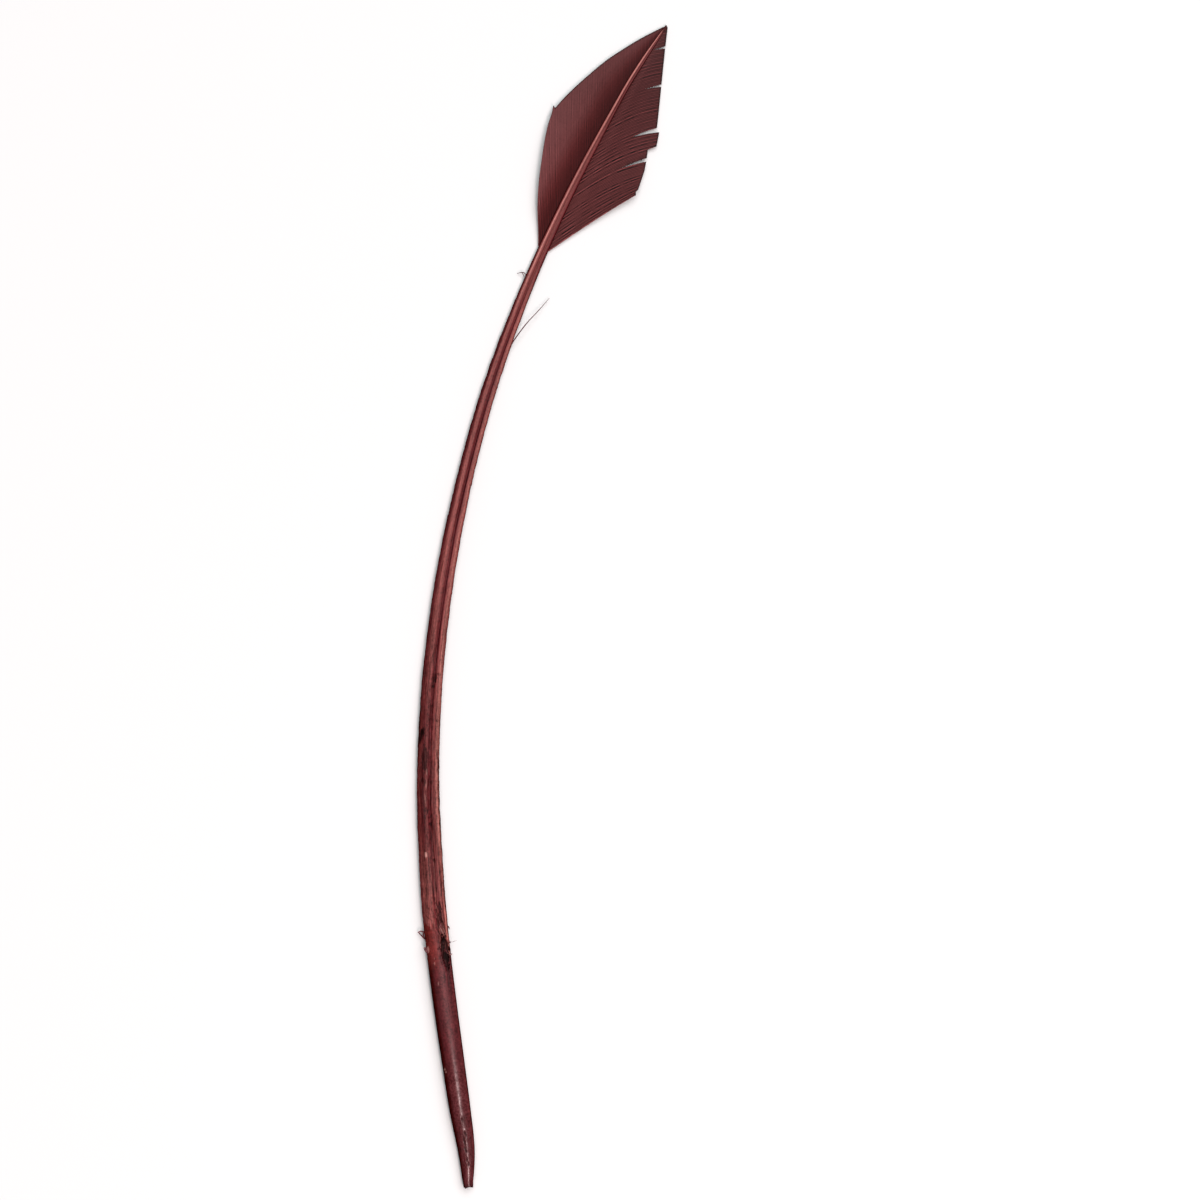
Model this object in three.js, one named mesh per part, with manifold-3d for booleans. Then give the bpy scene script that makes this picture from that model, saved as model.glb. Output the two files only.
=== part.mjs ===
// A stripped and trimmed wing quill of a turkey, dyed red-brown. It lies with its grooved underside up.
// Units are millimetres. +Y runs from the butt towards the tip and +Z is up, with the quill resting on Z = 0.
// The feather is three solids: the shaft, and the web of barbs that is left on each side of its tip.

import * as THREE from 'three';
import { mergeVertices } from 'three/addons/utils/BufferGeometryUtils.js';
import Module from 'manifold-3d';

// ---------------------------------------------------------------- driving dimensions

// Stations of the shaft from butt to tip: the place of its midline, the width and height of its section, and
// the lift of its back from the surface. The tapered butt and the curled tip don't touch it.
const SHAFT_STATIONS = [
  { x: -20.7, y: -162.8, width: 2.5, height: 2.4, lift: 1.3 },
  { x: -21.2, y: -152.3, width: 4.3, height: 4.1, lift: 0.6 },
  { x: -23.0, y: -141.1, width: 5.7, height: 5.5, lift: 0.15 },
  { x: -24.9, y: -128.0, width: 6.1, height: 5.9, lift: 0 },
  { x: -27.0, y: -111.7, width: 6.3, height: 6.0, lift: 0 },
  { x: -29.3, y: -95.2, width: 6.6, height: 6.0, lift: 0 },
  { x: -30.8, y: -78.4, width: 6.6, height: 5.8, lift: 0 },
  { x: -32.2, y: -50.4, width: 6.0, height: 5.4, lift: 0 },
  { x: -30.9, y: -22.4, width: 5.7, height: 5.0, lift: 0 },
  { x: -27.7, y: 5.6, width: 5.1, height: 4.5, lift: 0 },
  { x: -22.3, y: 33.6, width: 4.7, height: 4.0, lift: 0 },
  { x: -14.6, y: 61.6, width: 4.2, height: 3.5, lift: 0 },
  { x: -4.1, y: 89.6, width: 3.2, height: 2.8, lift: 0 },
  { x: 7.6, y: 116.3, width: 2.3, height: 2.0, lift: 0.15 },
  { x: 21.5, y: 141.8, width: 1.7, height: 1.4, lift: 0.4 },
  { x: 34.6, y: 162.7, width: 0.9, height: 0.8, lift: 0.6 },
];
const SHAFT_RINGS = 76;
const SHAFT_SIDES = 24;

// The section is a circle at the butt and grows squarer towards the rachis. Its back is cut off to a narrow
// flat, by a part of half its height.
const ROUND_POWER = 2;
const RACHIS_POWER = 2.6;
const BACK_FLAT = 0.08;

// The groove along the rachis opens where the bare calamus ends, and is half as deep at the tip. Its depth is
// a part of the section's height, and its half width and its place to the right are parts of the width.
const GROOVE_START_Y = -98;
const GROOVE_FULL_Y = -80;
const GROOVE_FADED_Y = 160;
const GROOVE_DEPTH = 0.13;
const GROOVE_HALF_WIDTH = 0.13;
const GROOVE_OFFSET = 0.1;

// Each vane is a thin sheet that leaves the shaft below its middle, at a part of the shaft's height, and
// curves up towards its outer edge: it has risen by rise at the distance riseAt from the shaft.
const VANE_THICKNESS = 0.6;
const VANE_ROOT_HEIGHT = 0.42;
const VANE_GAP = 0.3;
const VANE_START_T = 0.74;
const VANE_PAST_TIP = 1.5;
const VANE_REACH = 24;
const VANE_CURVE_POWER = 1.6;
const VANE_STEPS_ALONG = 26;
const VANE_STEPS_OUT = 8;
const LEFT_VANE = { side: -1, rise: 2.6, riseAt: 14 };
const RIGHT_VANE = { side: 1, rise: 2.4, riseAt: 17 };

// Outlines seen from above. The left one is cut to a smooth curve with one corner.
const TIP = [35.3, 162.7];
const LEFT_UPPER_EDGE = [[27.7, 159.0], [17.9, 152.9], [11.4, 147.6], [2.9, 138.9]];
const LEFT_LOWER_EDGE = [[0.5, 129.4], [-1.2, 116.3], [-1.4, 110.5], [-1.0, 100.6]];
const LEFT_BASE = [2.5, 100.6];

// The right one is cut straight, and is split in four places. Each split runs in to a point and out again.
const RIGHT_EDGE = [
  [34.4, 156.7], [32.4, 156.0], [34.4, 156.2],
  [33.2, 145.9], [28.3, 144.2], [33.3, 145.2],
  [32.5, 137.3], [31.9, 133.8], [24.9, 131.0], [32.7, 132.3],
  [32.0, 128.9], [29.7, 128.2],
  [29.2, 125.5], [22.4, 122.4], [29.5, 124.4],
  [26.8, 116.5], [26.1, 115.8], [10.9, 106.4], [1.6, 99.7],
];
const RIGHT_INNER_EDGE = [[-1.5, 99.7], [20.0, 141.8], [33.5, 162.7]];
const OUTLINE_SEGMENTS = 5;
const CUTTER_HEIGHT = 20;

const KERATIN_COLOUR = 0x6b3030;
const KERATIN_ROUGHNESS = 0.45;
const LEFT_VANE_COLOUR = 0x64312f;
const RIGHT_VANE_COLOUR = 0x572c2d;
const VANE_ROUGHNESS = 0.75;

// ---------------------------------------------------------------- the shaft's line and section

const CURVE_TYPE = 'catmullrom';
const midline = new THREE.CatmullRomCurve3(
  SHAFT_STATIONS.map(({ x, y }) => new THREE.Vector3(x, y, 0)), false, CURVE_TYPE);
const sizes = new THREE.CatmullRomCurve3(
  SHAFT_STATIONS.map(({ width, height, lift }) => new THREE.Vector3(width, height, lift)), false, CURVE_TYPE);

// Everything that is known of the shaft at t, which runs from 0 at the butt to 1 at the tip.
function shaftAt(t) {
  const place = midline.getPoint(t);
  const along = midline.getTangent(t);
  const across = new THREE.Vector3(along.y, -along.x, 0);
  const { x: width, y: height, z: lift } = sizes.getPoint(t);
  return { place, along, across, width, height, lift: Math.max(lift, 0) };
}

// A point of the section at an angle, as its distance across from the midline and its height.
function sectionPoint({ place, width, height, lift }, angle) {
  const rachis = THREE.MathUtils.smoothstep(place.y, GROOVE_START_Y, GROOVE_FULL_Y);
  const power = THREE.MathUtils.lerp(ROUND_POWER, RACHIS_POWER, rachis);
  const swell = (value) => Math.sign(value) * Math.abs(value) ** (2 / power);
  const across = swell(Math.cos(angle)) * width / 2;
  const back = -height / 2 * (1 - BACK_FLAT);
  const up = Math.max(swell(Math.sin(angle)) * height / 2, back);
  const fade = 1 - THREE.MathUtils.smoothstep(place.y, GROOVE_FULL_Y, GROOVE_FADED_Y) / 2;
  const fromGroove = (across / width - GROOVE_OFFSET) / GROOVE_HALF_WIDTH;
  const groove = up > 0 ? GROOVE_DEPTH * height * rachis * fade * Math.exp(-(fromGroove ** 2)) : 0;
  return { across, up: up - back + lift - groove };
}

// ---------------------------------------------------------------- helpers for closed meshes

function meshGeometry(points, triangles) {
  const geometry = new THREE.BufferGeometry();
  geometry.setAttribute('position', new THREE.Float32BufferAttribute(points.flat(), 3));
  geometry.setIndex(triangles.flat());
  return geometry;
}

// Two triangles for each cell between neighbouring rows of points.
function quad(a, b, c, d) {
  return [[a, b, c], [a, c, d]];
}

function namedMesh(name, geometry, color, roughness) {
  geometry.computeVertexNormals();
  const mesh = new THREE.Mesh(geometry, new THREE.MeshStandardMaterial({ color, roughness, metalness: 0 }));
  mesh.name = name;
  return mesh;
}

// ---------------------------------------------------------------- shaft

function shaftGeometry() {
  const points = [];
  const triangles = [];
  for (let ring = 0; ring < SHAFT_RINGS; ring += 1) {
    const station = shaftAt(ring / (SHAFT_RINGS - 1));
    for (let side = 0; side < SHAFT_SIDES; side += 1) {
      const { across, up } = sectionPoint(station, 2 * Math.PI * side / SHAFT_SIDES);
      const point = station.place.clone().addScaledVector(station.across, across);
      points.push([point.x, point.y, up]);
    }
  }
  const at = (ring, side) => ring * SHAFT_SIDES + (side % SHAFT_SIDES);
  for (let ring = 0; ring + 1 < SHAFT_RINGS; ring += 1) {
    for (let side = 0; side < SHAFT_SIDES; side += 1) {
      triangles.push(...quad(at(ring, side), at(ring + 1, side), at(ring + 1, side + 1), at(ring, side + 1)));
    }
  }
  for (const ring of [0, SHAFT_RINGS - 1]) {
    const { place, height, lift } = shaftAt(ring / (SHAFT_RINGS - 1));
    const centre = points.push([place.x, place.y, lift + height / 2]) - 1;
    for (let side = 0; side < SHAFT_SIDES; side += 1) {
      const rim = [at(ring, side), at(ring, side + 1)];
      triangles.push(ring === 0 ? [centre, rim[0], rim[1]] : [centre, rim[1], rim[0]]);
    }
  }
  return meshGeometry(points, triangles);
}

// ---------------------------------------------------------------- vanes

const wasm = await Module();
wasm.setup();

function toManifold(geometry) {
  const bare = geometry.clone();
  bare.deleteAttribute('normal');
  bare.deleteAttribute('uv');
  const merged = mergeVertices(bare);
  return new wasm.Manifold(new wasm.Mesh({
    numProp: 3,
    vertProperties: new Float32Array(merged.attributes.position.array),
    triVerts: new Uint32Array(merged.index.array),
  }));
}

function fromManifold(solid) {
  const { vertProperties, triVerts } = solid.getMesh();
  const geometry = new THREE.BufferGeometry();
  geometry.setAttribute('position', new THREE.BufferAttribute(vertProperties, 3));
  geometry.setIndex(new THREE.BufferAttribute(triVerts, 1));
  return geometry;
}

// The curved sheet of one vane before its outline is cut: rows along the shaft, and steps out from it. The
// last row lies past the shaft's tip. side is -1 for the left vane and 1 for the right one.
function sheetGeometry({ side, rise, riseAt }) {
  const points = [];
  for (let row = 0; row <= VANE_STEPS_ALONG; row += 1) {
    const t = THREE.MathUtils.lerp(VANE_START_T, 1, Math.min(row / (VANE_STEPS_ALONG - 1), 1));
    const { place, along, across, width, height, lift } = shaftAt(t);
    const start = row === VANE_STEPS_ALONG ? place.addScaledVector(along, VANE_PAST_TIP) : place;
    for (let step = 0; step <= VANE_STEPS_OUT; step += 1) {
      const out = VANE_REACH * step / VANE_STEPS_OUT;
      const point = start.clone().addScaledVector(across, side * (width / 2 + VANE_GAP + out));
      const up = lift + height * VANE_ROOT_HEIGHT + rise * (out / riseAt) ** VANE_CURVE_POWER;
      points.push([point.x, point.y, up - VANE_THICKNESS / 2], [point.x, point.y, up + VANE_THICKNESS / 2]);
    }
  }
  const at = (row, step, top) => 2 * (row * (VANE_STEPS_OUT + 1) + step) + top;
  const triangles = [];
  for (let row = 0; row < VANE_STEPS_ALONG; row += 1) {
    for (let step = 0; step < VANE_STEPS_OUT; step += 1) {
      triangles.push(
        ...quad(at(row, step, 1), at(row, step + 1, 1), at(row + 1, step + 1, 1), at(row + 1, step, 1)),
        ...quad(at(row, step, 0), at(row + 1, step, 0), at(row + 1, step + 1, 0), at(row, step + 1, 0)));
    }
    const last = VANE_STEPS_OUT;
    triangles.push(
      ...quad(at(row, 0, 0), at(row, 0, 1), at(row + 1, 0, 1), at(row + 1, 0, 0)),
      ...quad(at(row, last, 0), at(row + 1, last, 0), at(row + 1, last, 1), at(row, last, 1)));
  }
  for (let step = 0; step < VANE_STEPS_OUT; step += 1) {
    const end = VANE_STEPS_ALONG;
    triangles.push(
      ...quad(at(0, step, 0), at(0, step + 1, 0), at(0, step + 1, 1), at(0, step, 1)),
      ...quad(at(end, step, 0), at(end, step, 1), at(end, step + 1, 1), at(end, step + 1, 0)));
  }
  const outward = side > 0 ? triangles : triangles.map(([a, b, c]) => [a, c, b]);
  return meshGeometry(points, outward);
}

function leftOutline() {
  const shape = new THREE.Shape().moveTo(...TIP);
  shape.splineThru(LEFT_UPPER_EDGE.map(([x, y]) => new THREE.Vector2(x, y)));
  shape.splineThru(LEFT_LOWER_EDGE.map(([x, y]) => new THREE.Vector2(x, y)));
  return shape.lineTo(...LEFT_BASE).closePath();
}

function rightOutline() {
  const shape = new THREE.Shape().moveTo(...TIP);
  for (const [x, y] of [...RIGHT_EDGE, ...RIGHT_INNER_EDGE]) {
    shape.lineTo(x, y);
  }
  return shape.closePath();
}

function vaneGeometry(outline, vane) {
  const cutter = new THREE.ExtrudeGeometry(
    outline, { depth: CUTTER_HEIGHT, bevelEnabled: false, curveSegments: OUTLINE_SEGMENTS });
  cutter.translate(0, 0, -CUTTER_HEIGHT / 4);
  return fromManifold(toManifold(sheetGeometry(vane)).intersect(toManifold(cutter)));
}

// ---------------------------------------------------------------- the feather

const feather = new THREE.Group();
feather.add(
  namedMesh('shaft', shaftGeometry(), KERATIN_COLOUR, KERATIN_ROUGHNESS),
  namedMesh('vane_left', vaneGeometry(leftOutline(), LEFT_VANE), LEFT_VANE_COLOUR, VANE_ROUGHNESS),
  namedMesh('vane_right', vaneGeometry(rightOutline(), RIGHT_VANE), RIGHT_VANE_COLOUR, VANE_ROUGHNESS),
);

// The origin is the middle of the feather's outline, on the surface that it lies on.
const bounds = new THREE.Box3().setFromObject(feather);
const middle = bounds.getCenter(new THREE.Vector3());
feather.position.set(-middle.x, -middle.y, -bounds.min.z);

export default feather;
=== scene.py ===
import bpy
import numpy as np
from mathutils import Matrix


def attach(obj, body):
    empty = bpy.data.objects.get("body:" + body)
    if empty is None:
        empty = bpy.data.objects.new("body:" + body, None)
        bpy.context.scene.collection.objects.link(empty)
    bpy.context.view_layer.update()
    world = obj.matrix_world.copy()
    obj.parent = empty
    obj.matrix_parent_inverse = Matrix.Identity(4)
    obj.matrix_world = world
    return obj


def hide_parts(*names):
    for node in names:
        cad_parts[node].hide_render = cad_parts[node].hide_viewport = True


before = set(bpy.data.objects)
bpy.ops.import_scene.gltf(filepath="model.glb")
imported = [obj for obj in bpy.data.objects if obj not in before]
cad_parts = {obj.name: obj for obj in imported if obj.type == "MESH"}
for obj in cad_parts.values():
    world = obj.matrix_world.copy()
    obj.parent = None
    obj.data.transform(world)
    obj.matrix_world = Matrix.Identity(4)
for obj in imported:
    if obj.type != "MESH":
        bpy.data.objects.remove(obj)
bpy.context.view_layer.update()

# ---------------------------------------------------------------- camera
# The feather lies on a sheet of white paper and is seen from straight above, tip to the upper right.

VIEW_CENTRE = (0.01624, 0.00168)
VIEW_WIDTH = 0.336    # of the square view, at the height VIEW_LEVEL
VIEW_LEVEL = 0.003
LENS = 85.0           # millimetres

camera_data = bpy.data.cameras.new("camera")
camera_data.lens = LENS
camera = bpy.data.objects.new("camera", camera_data)
camera.location = (*VIEW_CENTRE, VIEW_LEVEL + VIEW_WIDTH * LENS / camera_data.sensor_width)
bpy.context.scene.collection.objects.link(camera)
bpy.context.scene.camera = camera


# ---------------------------------------------------------------- the quill's shaft
# One horn-like stem that grew as a whole: a round hollow calamus, then the squarer rachis, filled with pith
# and grooved along its underside. The barbs were stripped off most of it, and it was dyed red-brown.

# Stations from butt to tip: x and y of the midline, width and height of the section, lift of its back.
SHAFT_STATIONS = np.array([
    (-0.02064, -0.1628, 0.00270, 0.0024, 0.00130),
    (-0.02124, -0.1523, 0.00480, 0.0042, 0.00060),
    (-0.02295, -0.1411, 0.00594, 0.0055, 0.00015),
    (-0.02484, -0.1280, 0.00634, 0.0059, 0.00000),
    (-0.02712, -0.1117, 0.00662, 0.0060, 0.00000),
    (-0.02915, -0.0952, 0.00672, 0.0060, 0.00000),
    (-0.03070, -0.0784, 0.00680, 0.0058, 0.00000),
    (-0.03191, -0.0504, 0.00628, 0.0054, 0.00000),
    (-0.03085, -0.0224, 0.00578, 0.0050, 0.00000),
    (-0.02762, 0.0056, 0.00530, 0.0045, 0.00000),
    (-0.02217, 0.0336, 0.00460, 0.0040, 0.00000),
    (-0.01456, 0.0616, 0.00408, 0.0035, 0.00000),
    (-0.00420, 0.0896, 0.00338, 0.0028, 0.00000),
    (0.00794, 0.1163, 0.00255, 0.0020, 0.00015),
    (0.02150, 0.1418, 0.00170, 0.0014, 0.00040),
    (0.02812, 0.1528, 0.00150, 0.0011, 0.00060),
    (0.03485, 0.1628, 0.00060, 0.0005, 0.00080),
])
SHAFT_RINGS = 1040
TOP_POINTS = 61
BACK_POINTS = 23
BACK_FLAT = 0.08      # share of the half height that is cut off flat, to lie on

# The round calamus turns into the squarer rachis between these two places.
RACHIS_FROM = -0.098
RACHIS_TO = -0.086
ROUND_POWER = 2.0
SQUARE_POWER = 2.7

# The relief of the stripped rachis, as shares of its height.
FLANK_FALL = 0.26
GROOVE_DEPTH = 0.15
DIP_DEPTH = 0.05
FIBRE_HEIGHT = 0.016
SCAR_HEIGHT = 0.030
GROOVE_CRACK = 0.055
RIDGE_CRACK = 0.035

# In metres: how far the torn skin's edge stands up, how far it wanders, and how ragged the side edges are.
SKIN_STEP = 0.00022
TORN_WANDER = 0.0011
TORN_TEETH = 0.0006
EDGE_NICKS = 0.00006
EDGE_WAVES = 0.00007
BUTT_NICKS = 0.00010
BUTT_CHIPS = 0.00025


def spline(rows, t):
    """Catmull-Rom curve through the rows, for t from 0 to 1: a cubic blend of the two rows before t and the
    two after it."""
    place = np.clip(t, 0, 1) * (len(rows) - 1)
    before = np.minimum(place.astype(int), len(rows) - 2)
    part = (place - before)[..., None]
    ends = np.vstack([2 * rows[0] - rows[1], rows, 2 * rows[-1] - rows[-2]])
    a, b, c, d = (ends[before + step] for step in range(4))
    bend = (2 * a - 5 * b + 4 * c - d) * part ** 2 + (3 * b - a - 3 * c + d) * part ** 3
    return b + ((c - a) * part + bend) / 2


def ease(low, high, value):
    """0 below low and 1 above high, with a smooth S between: 3 x squared minus 2 x cubed."""
    x = np.clip((value - low) / (high - low), 0, 1)
    return x * x * (3 - 2 * x)


def grain(u, v, seed):
    """Smooth random values from -1 to 1: a random number at each whole u and v, eased between them."""
    size = 509
    table = np.random.default_rng(seed).uniform(-1, 1, (size, size))
    u, v = np.broadcast_arrays(u, v)
    u0, v0 = np.floor(u).astype(int), np.floor(v).astype(int)
    fu, fv = ease(0, 1, u - u0), ease(0, 1, v - v0)
    corner = [[table[(u0 + i) % size, (v0 + j) % size] for j in (0, 1)] for i in (0, 1)]
    near = corner[0][0] * (1 - fv) + corner[0][1] * fv
    far = corner[1][0] * (1 - fv) + corner[1][1] * fv
    return near * (1 - fu) + far * fu


def shaft_at(t):
    """Rows of the stations at t, with the unit vectors along the midline and across it to the right."""
    step = 1e-4
    rows = spline(SHAFT_STATIONS, t)
    ahead = (spline(SHAFT_STATIONS, t + step) - spline(SHAFT_STATIONS, t - step))[..., :2]
    along = ahead / np.linalg.norm(ahead, axis=-1, keepdims=True)
    across = np.stack([along[..., 1], -along[..., 0]], axis=-1)
    rows[..., 4] = np.maximum(rows[..., 4], 0)
    return rows, along, across


def bump(value, centre, half_width):
    """A bell of height 1 at the centre: e to the minus squared distance in half widths."""
    return np.exp(-((value - centre) / half_width) ** 2)


# The section runs from the left edge over the top to the right edge, then back underneath. part is the
# place across it, from -1 to 1. Its half outline is (1 - part to the power p) to the power 1/p: a circle
# where p is 2, and squarer in the rachis.
top_part = np.sin(np.linspace(-np.pi / 2, np.pi / 2, TOP_POINTS))
back_part = np.sin(np.linspace(np.pi / 2, -np.pi / 2, BACK_POINTS + 2))[1:-1]
part = np.concatenate([top_part, back_part])[None, :]
is_top = np.concatenate([np.ones(TOP_POINTS), np.zeros(BACK_POINTS)])[None, :]

# Rings lie closer together at the torn umbilicus, where the rachis begins, and at the butt.
dense_t = np.linspace(0, 1, 4000)
dense_y = spline(SHAFT_STATIONS, dense_t)[:, 1]
closeness = 1 + 1.3 * bump(dense_y, -0.092, 0.014) + 0.8 * bump(dense_y, -0.163, 0.012)
rings_before = np.cumsum(closeness * np.gradient(dense_y))
ring_t = np.interp(np.linspace(rings_before[0], rings_before[-1], SHAFT_RINGS), rings_before, dense_t)
rows, along, across = shaft_at(ring_t)
ring_y, width, height, lift = (rows[:, column, None] for column in (1, 2, 3, 4))

# The bare rachis begins at a torn edge: further up on the left than on the right.
torn_edge = -0.0891 - 0.0095 * ease(-0.1, 0.5, part) + TORN_WANDER * grain(part * 5, 0 * part, 11)
torn_edge = torn_edge + TORN_TEETH * grain(part * 19, ring_y * 300, 12)
stripped = ease(-0.0002, 0.0002, ring_y - torn_edge) * is_top
squared = ease(RACHIS_FROM, RACHIS_TO, ring_y)
upper = ease(-0.010, 0.070, ring_y)
blade = ease(0.080, 0.105, ring_y)
power = ROUND_POWER + (SQUARE_POWER - ROUND_POWER) * squared
outline = np.clip(1 - np.abs(part) ** power, 0, None) ** (1 / power)
up = np.where(is_top > 0, outline, np.maximum(-outline, BACK_FLAT - 1)) * height / 2
crown = is_top * np.clip(outline, 0, 1) ** 0.7

# The stripped rachis has a sloped left flank, a ridge, the groove and a second ridge, all a little wavy.
# place is the distance from its middle as a share of its width. Two fine cracks run along the groove and
# the ridge.
wave = 0.022 * grain(ring_y * 90, 0 * part, 1) + 0.012 * grain(ring_y * 330, 0 * part, 2)
place = part / 2 + wave * (1 - 0.7 * upper)
flank = FLANK_FALL * ease(-0.12 - 0.14 * upper, -0.5, place) * (1 - 0.4 * blade)
groove_depth = GROOVE_DEPTH + 0.04 * grain(ring_y * 120, 0 * part, 3) - 0.05 * blade
groove = groove_depth * bump(place, 0.090 + 0.010 * upper, 0.080)
dip = DIP_DEPTH * bump(place, 0.27, 0.05) * (1 - upper)
fibres = FIBRE_HEIGHT * (grain(ring_y * 260, part * 17, 4) + 0.75 * grain(ring_y * 900, part * 30, 5))
scars = SCAR_HEIGHT * np.clip(grain(ring_y * 700, part * 9, 6), 0, 1) * ease(0.1, 0.42, np.abs(place))
groove_crack = bump(place, 0.115 + 0.04 * grain(ring_y * 60, 0 * part, 13), 0.016)
groove_crack = groove_crack * ease(-0.035, -0.055, ring_y)
ridge_crack = bump(place, -0.05 + 0.05 * grain(ring_y * 45, 0 * part, 14), 0.014) * (1 - upper)
relief = (fibres + scars) * (1 - 0.6 * upper) - flank - groove - dip
relief = relief - GROOVE_CRACK * groove_crack - RIDGE_CRACK * ridge_crack
up = up + crown * height * squared * relief
up = up + crown * SKIN_STEP * (stripped - squared * 0.5) * bump(ring_y, torn_edge, 0.006)

# Torn skin and dirt: each mark has a place, half length, half width, depth, tone (dark above 0 and pale
# below it) and slant off the shaft's own direction in degrees. Their outlines are ragged.
MARKS = (
    # Dark scars and pale scratches down the middle of the stripped rachis.
    (-0.0298, -0.0203, 0.0011, 0.00050, 0.00035, 0.9, 0),
    (-0.0291, -0.0190, 0.0004, 0.00030, 0.00020, 0.9, 0),
    (-0.0305, -0.0224, 0.0005, 0.00040, 0.00020, 0.8, 0),
    (-0.0308, -0.0280, 0.0003, 0.00030, 0.00015, 0.8, 0),
    (-0.0294, -0.0322, 0.0003, 0.00030, 0.00015, 0.8, 0),
    (-0.0337, -0.0361, 0.0022, 0.00072, 0.00010, 1.0, -13),
    (-0.0328, -0.0425, 0.0038, 0.00085, 0.00015, 0.8, 0),
    (-0.0322, -0.0463, 0.0009, 0.00016, -0.00005, -0.24, 6),
    (-0.0335, -0.0487, 0.0007, 0.00030, 0.00010, 0.8, 0),
    (-0.0323, -0.0497, 0.0014, 0.00015, -0.00005, -0.24, -5),
    (-0.0326, -0.0538, 0.0017, 0.00013, -0.00005, -0.20, 5),
    (-0.0319, -0.0574, 0.0007, 0.00022, 0.00015, 0.8, 0),
    (-0.0312, -0.0610, 0.0005, 0.00040, 0.00030, 0.8, 0),
    (-0.0323, -0.0694, 0.0007, 0.00032, -0.00005, -0.75, 0),
    (-0.0301, -0.0711, 0.0006, 0.00035, 0.00030, 0.9, 0),
    # The umbilicus: a dark torn hollow on the right, with cracks that run up from it.
    (-0.0284, -0.0857, 0.0030, 0.00045, 0.00045, 0.9, 0),
    (-0.0290, -0.0878, 0.0020, 0.00045, 0.00040, 0.6, 0),
    (-0.0270, -0.0966, 0.0043, 0.00112, 0.00110, 1.0, 0),
    (-0.0276, -0.0936, 0.0012, 0.00075, 0.00050, 0.95, -12),
    (-0.0268, -0.0996, 0.0030, 0.00050, 0.00050, 0.9, 6),
    (-0.0262, -0.1045, 0.0030, 0.00018, 0.00010, 0.5, 0),
    # Pale and dark specks on the calamus.
    (-0.0320, -0.0961, 0.0008, 0.00060, -0.00025, -0.40, 0),
    (-0.0300, -0.0998, 0.0005, 0.00018, -0.00006, -0.24, 0),
    (-0.0289, -0.1054, 0.0006, 0.00018, -0.00006, -0.22, 0),
    (-0.0300, -0.0984, 0.0003, 0.00016, -0.00006, -0.22, 0),
    (-0.0305, -0.1127, 0.0007, 0.00030, 0.00000, 0.9, 0),
    (-0.0271, -0.1295, 0.0003, 0.00025, -0.00010, -0.37, 0),
    (-0.0268, -0.1302, 0.0003, 0.00025, -0.00010, -0.37, 0),
    (-0.0275, -0.1310, 0.0006, 0.00040, 0.00005, 0.7, 0),
    # Splinters and scratches round the umbilicus.
    (-0.0289, -0.0846, 0.0022, 0.00016, 0.00030, 0.9, 20),
    (-0.0285, -0.0872, 0.0024, 0.00030, 0.00030, 0.85, 24),
    (-0.0297, -0.0870, 0.0030, 0.00012, 0.00020, 0.7, 22),
    (-0.0303, -0.0800, 0.0034, 0.00014, 0.00030, 0.8, 4),
    (-0.0277, -0.0888, 0.0026, 0.00018, 0.00030, 0.85, 14),
    (-0.0286, -0.0914, 0.0020, 0.00014, 0.00020, 0.7, 24),
    (-0.0316, -0.0872, 0.0014, 0.00012, 0.00015, 0.6, 48),
    (-0.0322, -0.0838, 0.0012, 0.00014, 0.00015, 0.6, 30),
    (-0.0284, -0.0958, 0.0010, 0.00025, 0.00020, 0.6, 80),
    (-0.0281, -0.0990, 0.0014, 0.00018, 0.00015, 0.5, 10),
    (-0.0280, -0.0905, 0.0018, 0.00018, -0.00010, -0.3, 20),
    (-0.0270, -0.0915, 0.0022, 0.00016, -0.00010, -0.25, 8),
    # Chips near the butt.
    (-0.0223, -0.1434, 0.0006, 0.00022, 0.00020, 0.8, 8),
    (-0.0214, -0.1474, 0.0007, 0.00024, 0.00020, 0.8, 8),
    (-0.0216, -0.1498, 0.0014, 0.00022, 0.00025, 0.9, 4),
    (-0.0213, -0.1519, 0.0008, 0.00026, 0.00020, 0.9, 14),
    (-0.0210, -0.1548, 0.0006, 0.00022, 0.00020, 0.7, 0),
    (-0.0205, -0.1560, 0.0006, 0.00022, 0.00015, 0.7, 0),
    (-0.0229, -0.1520, 0.0006, 0.00030, 0.00010, 0.7, 0),
)
point_x = rows[:, 0, None] + across[:, 0, None] * part * width / 2
point_y = ring_y + across[:, 1, None] * part * width / 2
rough = 0.30 * grain(ring_y * 1500, part * 13, 15) + 0.25 * grain(ring_y * 3500, part * 31, 16)
stain = np.zeros_like(up)
pale = np.zeros_like(up)
for mark_x, mark_y, half_length, half_width, depth, tone, slant in MARKS:
    off_x, off_y = point_x - mark_x, point_y - mark_y
    turn = np.radians(slant)
    mark_along = along[:, None] * np.cos(turn) - across[:, None] * np.sin(turn)
    mark_across = across[:, None] * np.cos(turn) + along[:, None] * np.sin(turn)
    far_along = (off_x * mark_along[..., 0] + off_y * mark_along[..., 1]) / half_length
    far_across = (off_x * mark_across[..., 0] + off_y * mark_across[..., 1]) / half_width
    cover = is_top * ease(1.15, 0.85, np.hypot(far_along, far_across) + rough)
    up = up - depth * cover
    stain = np.maximum(stain, tone * cover)
    pale = np.maximum(pale, -tone * cover)

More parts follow.
